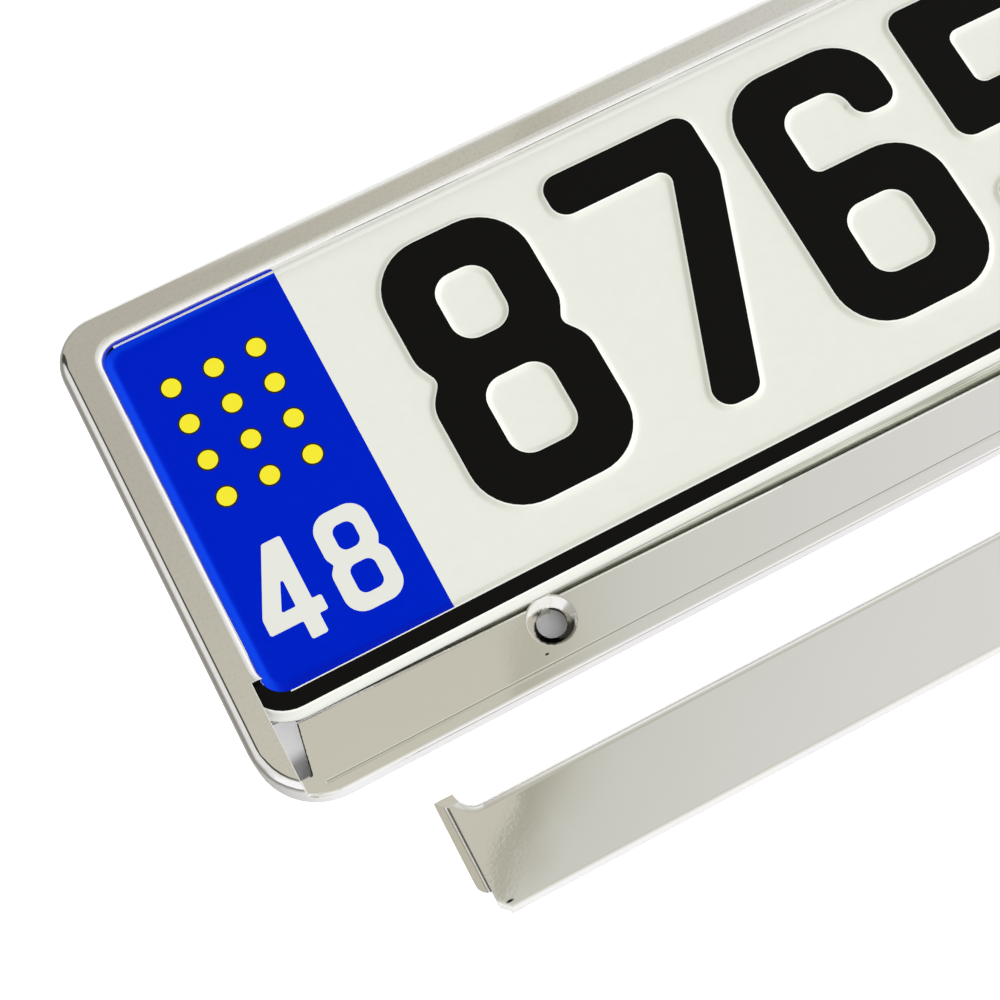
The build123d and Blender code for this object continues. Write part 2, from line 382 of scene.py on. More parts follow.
def countersink_plating():
    """Satin plating of the countersinks, with painted shade on the side below the hole."""
    material, tree, shader = new_material("Countersink plating")
    colour = mix_colour(tree, surface_noise(tree, 1.5, 3.0), (0.84, 0.83, 0.78), (0.93, 0.92, 0.89))
    from_middle = math_node(tree, "ABSOLUTE", object_place(tree, "X"))
    across = math_node(tree, "SUBTRACT", from_middle, hole_x * MM)
    along = math_node(tree, "SUBTRACT", object_place(tree, "Y"), hole_y * MM)
    reach = reach_node(tree, across, along)
    # Painted shade below the hole, with a ragged edge
    shift = math_node(tree, "MULTIPLY", surface_noise(tree, 0.8, 2.0), sink_shade_raggedness * MM)
    below = step_node(tree, math_node(tree, "ADD", along, shift), sink_shade_start * MM, sink_shade_full * MM)
    inside = step_node(tree, reach, sink_shade_reach * MM, (sink_shade_reach - sink_shade_reach_blur) * MM)
    shaded_side = math_node(tree, "MULTIPLY", below, inside)
    colour = mix_colour(tree, shaded_side, colour, (0.13, 0.125, 0.12))
    tree.links.new(colour, shader.inputs["Base Color"])
    shader.inputs["Metallic"].default_value = 1.0
    shader.inputs["Roughness"].default_value = 0.10
    return material


def white_film():
    """Reflective film in a faintly green white, with greener painted shade down the pressed slopes and a
    painted highlight at their top.
    """
    material, tree, shader = new_material("White reflective film")
    grain = surface_noise(tree, 3.0, 4.0)
    colour = mix_colour(tree, grain, (0.795, 0.805, 0.762), (0.835, 0.845, 0.802))
    height = object_place(tree, "Z")
    # Painted shade: a greener tint down the pressed slopes, weaker at the top border and the rim
    painted_slope_shading = step_node(tree, height, film_level * MM, (film_level + 0.3) * MM)
    along = object_place(tree, "Y")
    field_top = plate_high.y - rim_width - border_width - border_slope
    below_top = step_node(tree, along, field_top * MM, (field_top - 0.5) * MM, 0.25, 1.0)
    field_low = plate_low.y + rim_width + border_width / 2
    above_rim = step_node(tree, along, (field_low - 0.5) * MM, field_low * MM, 0.25, 1.0)
    painted_slope_shading = math_node(tree, "MULTIPLY", painted_slope_shading, math_node(tree, "MULTIPLY", below_top, above_rim))
    colour = mix_colour(tree, painted_slope_shading, colour, (0.82, 0.83, 0.775))
    # Painted highlight: whiter film at the top of the slopes
    shoulder = step_node(tree, height, (emboss_top - 0.3) * MM, (emboss_top - 0.1) * MM)
    colour = mix_colour(tree, shoulder, colour, (0.94, 0.945, 0.925))
    tree.links.new(colour, shader.inputs["Base Color"])
    shader.inputs["Roughness"].default_value = 0.42
    shader.inputs["Specular IOR Level"].default_value = 0.3
    return material


def blue_film():
    """Blue printed film of the band, paler up the pressed slopes as painted light, most of all at the left.
    """
    material, tree, shader = new_material("Blue film")
    grain = surface_noise(tree, 1.2, 3.0)
    colour = mix_colour(tree, grain, (0.0, 0.0015, 0.55), (0.0, 0.005, 0.61))
    # Painted light: paler blue up the pressed slopes, most at the left and less at the top
    painted_slope_shading = step_node(tree, object_place(tree, "Z"), film_level * MM, (film_level + 0.35) * MM)
    slope_left, slope_top = plate_low.x + 11.0, plate_high.y - 12.0
    at_left = step_node(tree, object_place(tree, "X"), slope_left * MM, (slope_left - 3.0) * MM)
    at_top = step_node(tree, object_place(tree, "Y"), slope_top * MM, (slope_top + 2.0) * MM, 0.0, 0.45)
    share = math_node(tree, "MULTIPLY", painted_slope_shading, math_node(tree, "MAXIMUM", at_left, at_top))
    colour = mix_colour(tree, share, colour, (0.004, 0.04, 0.80))
    tree.links.new(colour, shader.inputs["Base Color"])
    shader.inputs["Roughness"].default_value = 0.28
    shader.inputs["Specular IOR Level"].default_value = 0.25
    shader.inputs["Specular Tint"].default_value = (0.03, 0.85, 1.0, 1.0)
    return material


def plain_finish(name, colour, roughness, specular=0.3):
    """A finish that is the same all over."""
    material, _, shader = new_material(name)
    shader.inputs["Base Color"].default_value = (*colour, 1.0)
    shader.inputs["Roughness"].default_value = roughness
    shader.inputs["Specular IOR Level"].default_value = specular
    return material


def bare_aluminium():
    """Back and cut edge of the sheet."""
    material, tree, shader = new_material("Bare aluminium")
    shader.inputs["Base Color"].default_value = (0.72, 0.73, 0.74, 1.0)
    shader.inputs["Metallic"].default_value = 1.0
    shader.inputs["Roughness"].default_value = 0.38
    rolling = bump(tree, surface_noise(tree, 1.0, 2.0, (40.0, 1.0, 1.0)), 4.0e-6)
    tree.links.new(rolling, shader.inputs["Normal"])
    return material


# Pieces

def add_piece(name, mesh, materials):
    """A finished piece of the holder, on its one body."""
    piece = bpy.data.objects.new(name, mesh)
    bpy.context.scene.collection.objects.link(piece)
    if not mesh.materials:
        for material in materials:
            mesh.materials.append(material)
    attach(piece, "root")
    return piece


def baked_mesh(carrier):
    """The plain mesh that a carrier's modifiers make. The carrier goes."""
    view = bpy.context.view_layer
    view.update()
    evaluated = carrier.evaluated_get(bpy.context.evaluated_depsgraph_get())
    mesh = bpy.data.meshes.new_from_object(evaluated)
    mesh.name = carrier.name
    bpy.data.objects.remove(carrier)
    return mesh


def flat_areas(body):
    """For each face, the area of the flat that it belongs to."""
    areas = {}
    for first in body.faces:
        if first in areas:
            continue
        flat = [first]
        areas[first] = 0.0
        for face in flat:
            for edge in face.edges:
                if len(edge.link_faces) == 2 and edge.calc_face_angle() < flat_angle:
                    for other in edge.link_faces:
                        if other not in areas:
                            areas[other] = 0.0
                            flat.append(other)
        total = sum(face.calc_area() for face in flat)
        for face in flat:
            areas[face] = total
    return areas


def even_normals(body):
    """Corner normals that keep flats flat and rounds smooth, so that the plating mirrors evenly."""
    areas = flat_areas(body)
    normals = {}
    for vertex in body.verts:
        left = list(vertex.link_faces)
        while left:
            fan = [left.pop()]
            for face in fan:
                for edge in face.edges:
                    if edge.smooth and vertex in edge.verts:
                        for other in edge.link_faces:
                            if other in left:
                                left.remove(other)
                                fan.append(other)
            sum_of_fan = sum((face.normal * areas[face] ** 2 for face in fan), Vector())
            for face in fan:
                normals[face.index, vertex.index] = sum_of_fan.normalized()
    return [normals[face.index, vertex.index] for face in body.faces for vertex in face.verts]


bright, shaded_thin, grooved, countersunk, hole_shade, edge_highlight = range(6)


def plating_of(face):
    """The plating of a face of the frame: painted shade on the walls of the holes, thin and darkened by
    painted shade in the pocket and the slots, its own in the groove and the countersinks, a painted
    highlight on the bed's rear edge, and bright elsewhere."""
    middle = face.calc_center_median() / MM
    heights = [corner.co.z / MM for corner in face.verts]
    low, high = min(heights), max(heights)
    upright = abs(face.normal.z) < steep
    from_hole = hypot(abs(middle.x) - hole_x, middle.y - hole_y)
    if from_hole < countersink_radius and steep < face.normal.z < nearly_flat:
        return countersunk
    # Walls of the holes are painted dark as shade, the lowest ones with the thin plating
    if from_hole < hole_radius + slack and upright:
        return hole_shade if low > panel_level else shaded_thin
    within = low > panel_level - hair and high < rib_level + hair
    if within and abs(middle.y - groove_line) < groove_half and low < bed_level - slack:
        return grooved
    behind_bed = middle.y > pocket_front and abs(middle.x) < bed_end_outer
    rounded = face.normal.y > 0.15 and 0.1 < face.normal.z < 0.99
    at_edge = low > bed_level - bed_edge_round - slack / 2 and high < bed_level + hair
    # The bed's rounded rear edge gets a painted highlight
    if behind_bed and rounded and at_edge:
        return edge_highlight
    beside_bed = middle.y > slot_front and bed_end_inner < abs(middle.x) < bed_end_outer
    sunk = high < bed_level - slack or low > rib_level - hair
    # Thin plating, darkened as painted shade, on faces in the pocket and the slots
    return shaded_thin if within and (behind_bed or beside_bed) and (upright or sunk) else bright


def on_tab(face):
    """Whether a face of the strip lies on one of the tabs at its ends."""
    return abs(face.calc_center_median().x / MM - strip_middle) > strip_end + slack


def plated_moulding(node, name, finishes, finish_of):
    """A moulding with its facets joined, its rounds smooth and its edges crisp."""
    mesh = frame["nodes"][node].data.copy()
    mesh.name = name
    mesh.materials.clear()
    custom = mesh.attributes.get("custom_normal")
    if custom is not None:
        mesh.attributes.remove(custom)
    body = bmesh.new()
    body.from_mesh(mesh)
    bmesh.ops.remove_doubles(body, verts=body.verts, dist=weld_distance)
    bmesh.ops.dissolve_degenerate(body, edges=body.edges, dist=least_edge)
    body.normal_update()
    for face in body.faces:
        face.smooth = True
        face.material_index = finish_of(face)
    for edge in body.edges:
        edge.smooth = len(edge.link_faces) == 2 and edge.calc_face_angle() < crisp_angle
    body.faces.index_update()
    body.verts.index_update()
    normals = even_normals(body)
    body.to_mesh(mesh)
    body.free()
    mesh.normals_split_custom_set(normals)
    piece = add_piece(name, mesh, finishes)
    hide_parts(node)


# Outlines

def rounded_outline(corners):
    """Points and outward normals along a closed outline, anticlockwise, from corners (x, y, radius)."""
    outline = []
    for place, (x, y, radius) in enumerate(corners):
        here = Vector((x, y))
        arriving = (here - Vector(corners[place - 1][:2])).normalized()
        leaving = (Vector(corners[(place + 1) % len(corners)][:2]) - here).normalized()
        turn = atan2(arriving.x * leaving.y - arriving.y * leaving.x, arriving.dot(leaving))
        side = 1.0 if turn > 0 else -1.0
        start = here - arriving * radius * tan(abs(turn) / 2)
        centre = start + Vector((-arriving.y, arriving.x)) * radius * side
        heading = atan2(arriving.y, arriving.x)
        steps = ceil(abs(turn) / arc_step - 1e-6)
        for step in range(steps + 1):
            angle = heading + turn * step / max(steps, 1)
            normal = Vector((sin(angle), -cos(angle)))
            outline.append((centre + normal * radius * side, normal))
    return outline


def hollow(corners):
    """Outline of an opening: its normals point into the opening."""
    return [(point, -normal) for point, normal in rounded_outline(corners)]


def rounded_box(left, low, right, high, radius):
    """Corners of a rounded rectangle."""
    return [(left, low, radius), (right, low, radius), (right, high, radius), (left, high, radius)]


def digit_corners(digit):
    """Corners of a plain block digit: its outline and its openings."""
    wide, tall, stem, bar = digit_width, digit_height, digit_stem, digit_bar
    right = wide - stem
    ceiling = tall - bar
    hook = 21.0
    waist = 39.0
    openings = []
    if digit == "1":
        outline = [
            (16, 0, end_round), (28.5, 0, end_round), (28.5, tall, end_round), (18, tall, 5),
            (4, 63, end_round), (4, 51.5, 3.5), (16, 59.5, tight_round),
        ]
    elif digit == "2":
        outline = [
            (0, 0, end_round), (wide, 0, end_round), (wide, bar, end_round), (17, bar, tight_round),
            (wide, 43, outer_round), (wide, tall, outer_round), (0, tall, outer_round),
            (0, tall - hook, end_round), (stem, tall - hook, end_round), (stem, ceiling, tight_round),
            (right, ceiling, inner_round), (right, 46, 10), (0, 14, inner_round),
        ]
    elif digit == "3":
        outline = [
            (0, 0, outer_round), (wide, 0, outer_round), (wide, waist - 6, 9),
            (wide - 4.5, waist, tight_round), (wide - 1, waist + 6, 9), (wide - 1, tall, outer_round),
            (0, tall, outer_round), (0, tall - hook, end_round), (stem, tall - hook, end_round),
            (stem, ceiling, tight_round), (right, ceiling, inner_round),
            (right, waist + 5.5, inner_round), (15, waist + 5.5, end_round), (15, waist - 5.5, end_round),
            (right, waist - 5.5, inner_round), (right, bar, inner_round), (stem, bar, tight_round),
            (stem, hook, end_round), (0, hook, end_round),
        ]
    elif digit == "4":
        foot_left, foot_right, cross = 24.0, 36.0, 14.0
        outline = [
            (foot_left, 0, end_round), (foot_right, 0, end_round), (foot_right, cross, tight_round),
            (wide, cross, end_round), (wide, cross + bar, end_round),
            (foot_right, cross + bar, tight_round), (foot_right, tall, end_round), (22, tall, end_round),
            (0, 27, 8), (0, cross, end_round), (foot_left, cross, tight_round),
        ]
        openings.append([(13.5, cross + bar, 2.8), (foot_left, cross + bar, 2.8), (foot_left, 50, 2.8)])
    elif digit == "5":
        outline = [
            (0, 0, outer_round), (wide, 0, outer_round), (wide, 46.5, outer_round),
            (stem, 46.5, tight_round), (stem, ceiling, tight_round), (wide - 2, ceiling, end_round),
            (wide - 2, tall, end_round), (0, tall, end_round), (0, 35, end_round),
            (right, 35, inner_round), (right, bar, inner_round), (stem, bar, tight_round),
            (stem, hook, end_round), (0, hook, end_round),
        ]
    elif digit == "6":
        outline = [
            (0, 0, outer_round), (wide, 0, outer_round), (wide, 44, outer_round), (stem, 44, tight_round),
            (stem, ceiling, inner_round), (right, ceiling, inner_round), (right, 53, end_round),
            (wide, 53, end_round), (wide, tall, outer_round), (0, tall, outer_round),
        ]
        openings.append(rounded_box(stem, bar, right, 32.5, inner_round))
    elif digit == "7":
        lean = 0.367
        outline = [
            (9, 0, end_round), (21.8, 0, end_round), (wide, 57, 10), (wide, tall, end_round),
            (0, tall, end_round), (0, ceiling, end_round), (9 + lean * ceiling, ceiling, tight_round),
        ]
    elif digit == "8":
        shoulder = 1.5
        outline = [
            (0, 0, outer_round), (wide, 0, outer_round), (wide, waist - 6, 9),
            (wide - 4.5, waist, tight_round), (wide - shoulder, waist + 6, 9),
            (wide - shoulder, tall, outer_round), (shoulder, tall, outer_round),
            (shoulder, waist + 6, 9), (4.5, waist, tight_round), (0, waist - 6, 9),
        ]
        openings.append(rounded_box(stem, bar, right, waist - 5.5, inner_round))
        openings.append(
            rounded_box(stem + shoulder, waist + 5.5, right - shoulder, ceiling, inner_round)
        )
    return outline, openings


def placed(corners, left, low, scale=1.0, softness=1.0):
    """Corners moved to a place on the plate, at a scale, with the small rounds made softer or harder."""
    moved = []
    for x, y, radius in corners:
        small = radius < inner_round
        moved.append((left + x * scale, low + y * scale, radius * scale * (softness if small else 1.0)))
    return moved


# Plate

film, foil, blue, band_print, metal = range(5)


def row(sheet, outline, away, level):
    """A closed row of points, moved away from an outline along its normals."""
    return [
        sheet.verts.new((point.x + side.x * away, point.y + side.y * away, level)) for point, side in outline
    ]


def join_rows(sheet, first, second, finishes):
    """A closed band of faces between two rows of points, each with its finish."""
    for place in range(len(first)):
        after = (place + 1) % len(first)
        face = sheet.faces.new((first[place], first[after], second[after], second[place]))
        face.material_index = finishes[place]


def fill_rows(sheet, rows, finish):
    """A flat face inside the first row of points, open where the other rows are."""
    points = [point for closed in rows for point in closed]
    for corners in tessellate_polygon([[point.co for point in closed] for closed in rows]):
        face = sheet.faces.new([points[corner] for corner in corners])
        face.material_index = finish


def slope_row(sheet, outline, widths, shares, margin=0.0):
    """A closed row of points down a pressed slope, each at its share of its width."""
    points = []
    for (point, side), width, share in zip(outline, widths, shares):
        fall = share * share * (3 - 2 * share)
        level = emboss_top + (film_level - emboss_top) * fall
        away = share * width + margin
        points.append(sheet.verts.new((point.x + side.x * away, point.y + side.y * away, level)))
    return points


def pressed_slope(sheet, outline, widths, starts=None, upper=None, lower=None):
    """The slope from a raised face down to the film: its top row, on the raised face, and its lowest row.
    Starts are the shares of the slope after which the lower finishes begin."""
    count = len(outline)
    top = row(sheet, outline, -flat_margin, emboss_top)
    edge = row(sheet, outline, 0.0, emboss_top)
    join_rows(sheet, top, edge, [foil] * count)
    above = slope_row(sheet, outline, widths, [black_overlap / width for width in widths])
    join_rows(sheet, edge, above, [foil] * count)
    starts = starts or [film_start] * count
    finishes = upper or [film] * count
    for step in range(slope_steps + 1):
        shares = [start + (1.0 - start) * step / slope_steps for start in starts]
        below = slope_row(sheet, outline, widths, shares)
        join_rows(sheet, above, below, finishes)
        above = below
        finishes = lower or finishes
    foot = slope_row(sheet, outline, widths, [1.0] * count, flat_margin)
    join_rows(sheet, above, foot, finishes)
    return top, foot


def pressed_digit(sheet, digit, left):
    """One raised digit. Returns the row of points at its foot."""
    corners, openings = digit_corners(digit)
    outside = rounded_outline(placed(corners, left, digit_low))
    top, foot = pressed_slope(sheet, outside, [emboss_slope] * len(outside))
    raised = [top]
    for opening in openings:
        inside = hollow(placed(opening, left, digit_low))
        inner_top, inner_foot = pressed_slope(sheet, inside, [emboss_slope] * len(inside))
        raised.append(inner_top)
        fill_rows(sheet, [inner_foot], film)
    fill_rows(sheet, raised, foil)
    return foot


def plate_corners(inset):
    """Corners of the plate's outline drawn in, with a stop at the edge of the blue band."""
    left, low = plate_low.x + inset, plate_low.y + inset
    right, high = plate_high.x - inset, plate_high.y - inset
    radius = plate_corner_radius - inset
    return [
        (left, low, radius), (band_right, low, 0.0), (right, low, radius),
        (right, high, radius), (band_right, high, 0.0), (left, high, radius),
    ]


def raised_border(sheet):
    """Rim and raised black border. Returns the row of points at the foot of its inner slope."""
    outside = rounded_outline(plate_corners(rim_width))
    inside = hollow(plate_corners(rim_width + border_width))
    edge = row(sheet, outside, rim_width, film_level)
    outer_top, outer_foot = pressed_slope(sheet, outside, [outer_slope] * len(outside))
    join_rows(sheet, edge, outer_foot, [film] * len(outside))

    # The blue film starts a little way down the slope, by a gap that differs at the sides and is black
    # round the corners
    widths, starts, upper, lower = [], [], [], []
    for place, (point, side) in enumerate(inside):
        width = band_slope if point.x < band_right - same_place else border_slope
        gap = band_gap_left * side.x ** 2
        gap += (band_gap_top if side.y < 0 else band_gap_low) * side.y ** 2
        widths.append(width)
        starts.append(max(gap, least_band_gap) / width)
        in_corner = min(abs(side.x), abs(side.y)) > band_corner_share
        upper.append(foil if in_corner and point.x < band_right else film)
        after = inside[(place + 1) % len(inside)][0]
        lower.append(blue if (point.x + after.x) / 2 < band_right else film)
    inner_top, inner_foot = pressed_slope(sheet, inside, widths, starts, upper, lower)
    join_rows(sheet, outer_top, inner_top, [foil] * len(outside))
    return inner_foot


def flat_number(sheet, number, left, low, scale):
    """A number printed flush on the blue band. Returns the rows of points around its digits."""
    rims = []
    for place, digit in enumerate(number):
        shift = left + place * band_number_pitch
        corners, openings = digit_corners(digit)
        outline = rounded_outline(placed(corners, shift, low, scale, band_softness))
        rim = row(sheet, outline, 0.0, film_level)
        holes = []
        for opening in openings:
            outline = rounded_outline(placed(opening, shift, low, scale, band_softness))
            hole = row(sheet, outline, 0.0, film_level)
            fill_rows(sheet, [hole], blue)
            holes.append(hole)
        fill_rows(sheet, [rim] + holes, band_print)
        rims.append(rim)
    return rims


def number_plate(materials):
    """The pressed plate: border, blue band and raised numbers in one sheet."""
    sheet = bmesh.new()
    foot = raised_border(sheet)
    in_band = [point for point in foot if point.co.x < band_right + same_place]
    in_field = [point for point in foot if point.co.x > band_right - same_place]
    feet = []
    left = first_digit_left
    for group in (first_group, second_group):
        for digit in group:
            feet.append(pressed_digit(sheet, digit, left))
            left += digit_pitch
        left += group_gap
    fill_rows(sheet, [in_field] + feet, film)
    scale = band_number_height / digit_height
    rims = flat_number(sheet, band_number, band_number_left, band_number_low, scale)
    fill_rows(sheet, [in_band] + rims, blue)

    for face in sheet.faces:
        face.normal_update()
        if face.normal.z < 0:
            face.normal_flip()
        face.smooth = True
    bmesh.ops.scale(sheet, vec=(MM, MM, MM), verts=sheet.verts)
    mesh = bpy.data.meshes.new("pressed_plate")
    sheet.to_mesh(mesh)
    sheet.free()
    carrier = bpy.data.objects.new("pressed_plate", mesh)
    bpy.context.scene.collection.objects.link(carrier)
    for material in materials:
        mesh.materials.append(material)
    sheet_metal = carrier.modifiers.new("Sheet", "SOLIDIFY")
    sheet_metal.thickness = sheet_thickness * MM
    sheet_metal.offset = -1.0
    sheet_metal.material_offset = metal
    sheet_metal.material_offset_rim = metal
    piece = add_piece("pressed_plate", baked_mesh(carrier), materials)
    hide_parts("number_plate")


# Dots of the blue band

def dot_grid_tree():
    """Geometry nodes for flat round dots in a grid, with inputs for their sizes."""
    tree = bpy.data.node_groups.new("Dot grid", "GeometryNodeTree")
    sizes = ("Radius", "Print thickness", "Pitch across", "Pitch along", "Level")
    for name in (*sizes, "Centre across", "Centre along"):
        tree.interface.new_socket(name, in_out="INPUT", socket_type="NodeSocketFloat")
    for name in ("Columns", "Rows"):
        tree.interface.new_socket(name, in_out="INPUT", socket_type="NodeSocketInt")
    tree.interface.new_socket("Finish", in_out="INPUT", socket_type="NodeSocketMaterial")
    tree.interface.new_socket("Geometry", in_out="OUTPUT", socket_type="NodeSocketGeometry")
    nodes, links = tree.nodes, tree.links
    given = nodes.new("NodeGroupInput")
    result = nodes.new("NodeGroupOutput")

    def span(count, pitch):
        gaps = nodes.new("ShaderNodeMath")
        gaps.operation = "SUBTRACT"
        links.new(given.outputs[count], gaps.inputs[0])
        gaps.inputs[1].default_value = 1.0
        length = nodes.new("ShaderNodeMath")
        length.operation = "MULTIPLY"
        links.new(gaps.outputs[0], length.inputs[0])
        links.new(given.outputs[pitch], length.inputs[1])
        return length.outputs[0]

    grid = nodes.new("GeometryNodeMeshGrid")
    links.new(span("Columns", "Pitch across"), grid.inputs["Size X"])
    links.new(span("Rows", "Pitch along"), grid.inputs["Size Y"])
    links.new(given.outputs["Columns"], grid.inputs["Vertices X"])
    links.new(given.outputs["Rows"], grid.inputs["Vertices Y"])
    dot = nodes.new("GeometryNodeMeshCylinder")
    dot.inputs["Vertices"].default_value = 40
    links.new(given.outputs["Radius"], dot.inputs["Radius"])
    links.new(given.outputs["Print thickness"], dot.inputs["Depth"])
    copies = nodes.new("GeometryNodeInstanceOnPoints")
    links.new(grid.outputs["Mesh"], copies.inputs["Points"])
    links.new(dot.outputs["Mesh"], copies.inputs["Instance"])
    place = nodes.new("ShaderNodeCombineXYZ")
    links.new(given.outputs["Centre across"], place.inputs["X"])
    links.new(given.outputs["Centre along"], place.inputs["Y"])
    links.new(given.outputs["Level"], place.inputs["Z"])
    move = nodes.new("GeometryNodeTransform")
    links.new(copies.outputs["Instances"], move.inputs["Geometry"])
    links.new(place.outputs["Vector"], move.inputs["Translation"])
    real = nodes.new("GeometryNodeRealizeInstances")
    links.new(move.outputs["Geometry"], real.inputs["Geometry"])
    coat = nodes.new("GeometryNodeSetMaterial")
    links.new(real.outputs["Geometry"], coat.inputs["Geometry"])
    links.new(given.outputs["Finish"], coat.inputs["Material"])
    links.new(coat.outputs["Geometry"], result.inputs["Geometry"])
    return tree


def band_dots(name, tree, radius, thickness, finish):
    """A grid of printed dots on the blue band."""
    carrier = bpy.data.objects.new(name, bpy.data.meshes.new(name))
    bpy.context.scene.collection.objects.link(carrier)
    print_layer = carrier.modifiers.new("Dots", "NODES")
    print_layer.node_group = tree
    values = {
        "Radius": radius * MM, "Print thickness": thickness * MM,
        "Pitch across": dot_pitch_x * MM, "Pitch along": dot_pitch_y * MM,
        "Level": (film_level + thickness / 2) * MM,
        "Centre across": dots_centre[0] * MM, "Centre along": dots_centre[1] * MM,
        "Columns": dot_columns, "Rows": dot_rows, "Finish": finish,
    }
    for socket in tree.interface.items_tree:
        if socket.in_out == "INPUT":
            print_layer[socket.identifier] = values[socket.name]
    add_piece(name, baked_mesh(carrier), [finish])


# Stage

light_side = Vector((0.66, -0.46, 0.60)).normalized()
floor_half = 3.0
floor_shade_reach, floor_light_reach = 0.03, 0.02
floor_margin = 0.006
floor_glow = 0.8
slot_glow_start, slot_glow_full, slot_glow_most = -0.0550, -0.0505, 0.40
camera_place = (-0.25107, -0.14563, 0.44828)


def white_floor():
    """Plain white floor, which the camera sees bright and the plating mirrors greyer, with painted shadow at
    the left.
    """
    mesh = bpy.data.meshes.new("floor")
    near, far = -floor_half, floor_half
    corners = [(near, near, 0), (far, near, 0), (far, far, 0), (near, far, 0)]
    mesh.from_pydata(corners, [], [(0, 1, 2, 3)])
    floor = bpy.data.objects.new("floor", mesh)
    bpy.context.scene.collection.objects.link(floor)
    material, tree, shader = new_material("White floor")
    across, along = object_place(tree, "X"), object_place(tree, "Y")
    left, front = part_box("holder_frame")[0].xy
    # Painted shadow: the floor darker near the holder's left, which the plating mirrors
    from_left = step_node(tree, across, left - floor_shade_reach, left + floor_light_reach)
    colour = mix_colour(tree, from_left, (0.29, 0.28, 0.265), (0.96, 0.95, 0.985))
    tree.links.new(colour, shader.inputs["Base Color"])
    shader.inputs["Roughness"].default_value = 1.0
    shader.inputs["Specular IOR Level"].default_value = 0.0
    shader.inputs["Emission Color"].default_value = (1.0, 1.0, 1.0, 1.0)

    # The camera sees the floor white beside the holder, and pale through the rear of the slots, where a
    # painted glow lights it
    from_middle = math_node(tree, "ABSOLUTE", across)
    beside = math_node(tree, "GREATER_THAN", from_middle, -left - floor_margin)
    before = math_node(tree, "GREATER_THAN", math_node(tree, "ABSOLUTE", along), -front - floor_margin)
    in_open = math_node(tree, "MAXIMUM", beside, before)
    in_slots = math_node(tree, "GREATER_THAN", from_middle, bed_end_inner * MM - floor_margin)
    at_rear = step_node(tree, along, slot_glow_start, slot_glow_full, 0.0, slot_glow_most)
    slot_glow = math_node(tree, "MULTIPLY", in_slots, at_rear)
    glow = math_node(tree, "ADD", math_node(tree, "MULTIPLY", in_open, floor_glow), slot_glow)
    rays = tree.nodes.new("ShaderNodeLightPath")
    seen = math_node(tree, "MULTIPLY", rays.outputs["Is Camera Ray"], glow)
    tree.links.new(seen, shader.inputs["Emission Strength"])
    mesh.materials.append(material)


def ceiling_colour(tree, across, along):
    """The ceiling that the plating mirrors: warm to the left of a bent line, with an olive seam on the line,
    and grey to its right. Limits are parts of a direction's length."""
    line_start, line_lean = 0.02, 0.52
    bend_start, bend_lean = 0.13, 0.5
    swing_start, swing_lean = 0.05, 2.0
    spread_start, spread_lean = 0.116, 1.6
    least_spread, most_spread = 0.012, 0.10
    bend = math_node(tree, "MAXIMUM", math_node(tree, "SUBTRACT", bend_start, along), 0.0)
    swing = math_node(tree, "MAXIMUM", math_node(tree, "SUBTRACT", swing_start, along), 0.0)
    line = math_node(tree, "ADD", math_node(tree, "MULTIPLY", along, line_lean), line_start)
    line = math_node(tree, "SUBTRACT", line, math_node(tree, "MULTIPLY", bend, bend_lean))
    line = math_node(tree, "ADD", line, math_node(tree, "MULTIPLY", swing, swing_lean))
    past_line = math_node(tree, "SUBTRACT", across, line)
    spread = math_node(tree, "SUBTRACT", math_node(tree, "MULTIPLY", along, spread_lean), spread_start)
    spread = math_node(tree, "MAXIMUM", spread, least_spread)
    spread = math_node(tree, "MINIMUM", spread, most_spread)
    wedge = math_node(tree, "DIVIDE", past_line, spread)
    far_back = step_node(tree, along, 0.25, 0.4)

    warm = (0.58, 0.557, 0.478)
    near_grey, far_grey = (0.59, 0.593, 0.54), (0.705, 0.70, 0.675)
    olive = (0.365, 0.36, 0.288)
    grey = mix_colour(tree, step_node(tree, past_line, -0.05, 0.3), near_grey, far_grey)
    grey = mix_colour(tree, math_node(tree, "MULTIPLY", far_back, 0.5), grey, warm)
    colour = mix_colour(tree, step_node(tree, wedge, 0.05, 0.7), warm, grey)

    before = step_node(tree, past_line, -0.003, 0.0)
    fast_fade = step_node(tree, wedge, 0.0, 0.4, 0.0, 0.82)
    slow_fade = step_node(tree, wedge, 0.2, 1.0, 0.0, 0.18)
    after = math_node(tree, "ADD", fast_fade, slow_fade)
    weaker = step_node(tree, along, 0.13, 0.19, 1.0, 0.5)
    weakest = step_node(tree, along, 0.25, 0.4, 1.0, 0.6)
    strength = math_node(tree, "MULTIPLY", weaker, weakest)
    seam = math_node(tree, "MULTIPLY", math_node(tree, "SUBTRACT", before, after), strength, True)
    colour = mix_colour(tree, seam, colour, olive)
    back_shade = step_node(tree, across, 0.0, 0.3, 0.80, 0.96)
    shade = mix_colour(tree, step_node(tree, along, 0.18, 0.40), (1.0, 1.0, 1.0), back_shade)
    return mix_colour(tree, 1.0, colour, shade, "MULTIPLY")


